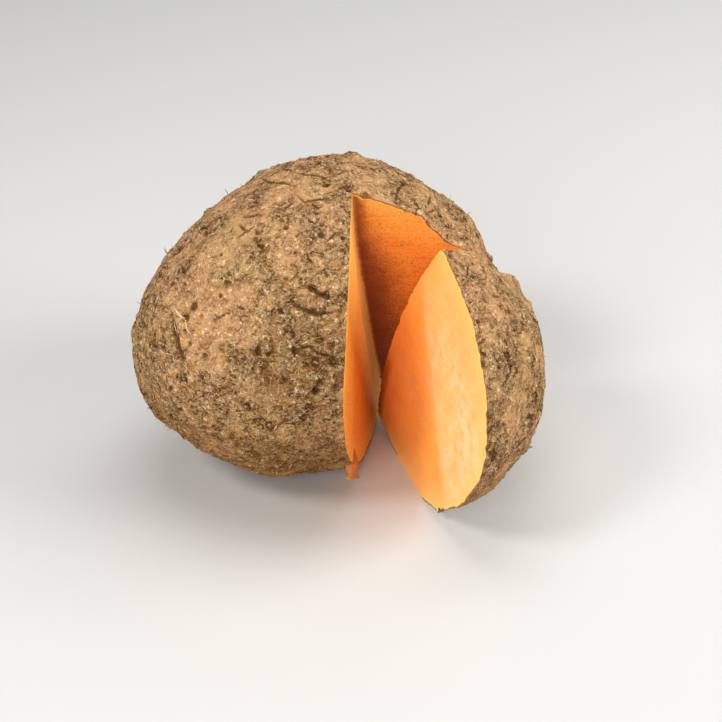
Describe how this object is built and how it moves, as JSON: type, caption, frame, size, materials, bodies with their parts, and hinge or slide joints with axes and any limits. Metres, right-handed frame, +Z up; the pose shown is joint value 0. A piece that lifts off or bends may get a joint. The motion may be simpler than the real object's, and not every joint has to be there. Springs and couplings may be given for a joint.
{
  "type": "elephant foot yam with a cut wedge",
  "caption": "Rounded tuber with rough ringed skin and an open notch, and the wedge cut from it standing in front with its orange flesh showing.",
  "frame": {"origin": "middle of the tuber's small resting flat, on the surface it stands on", "axes": "+Z up; -Y towards the side that the notch and the wedge face; +X towards the wedge's side"},
  "size_m": [0.2199, 0.2343, 0.1661],
  "materials": {
    "skin": "rough, dusty, bark-like tuber skin; orange flesh on the cut faces",
    "flesh": "moist orange flesh on the cut faces; rough tan skin on the outside"
  },
  "bodies": {
    "root": {"tuber": "skin", "wedge": "flesh"}
  },
  "joints": []
}
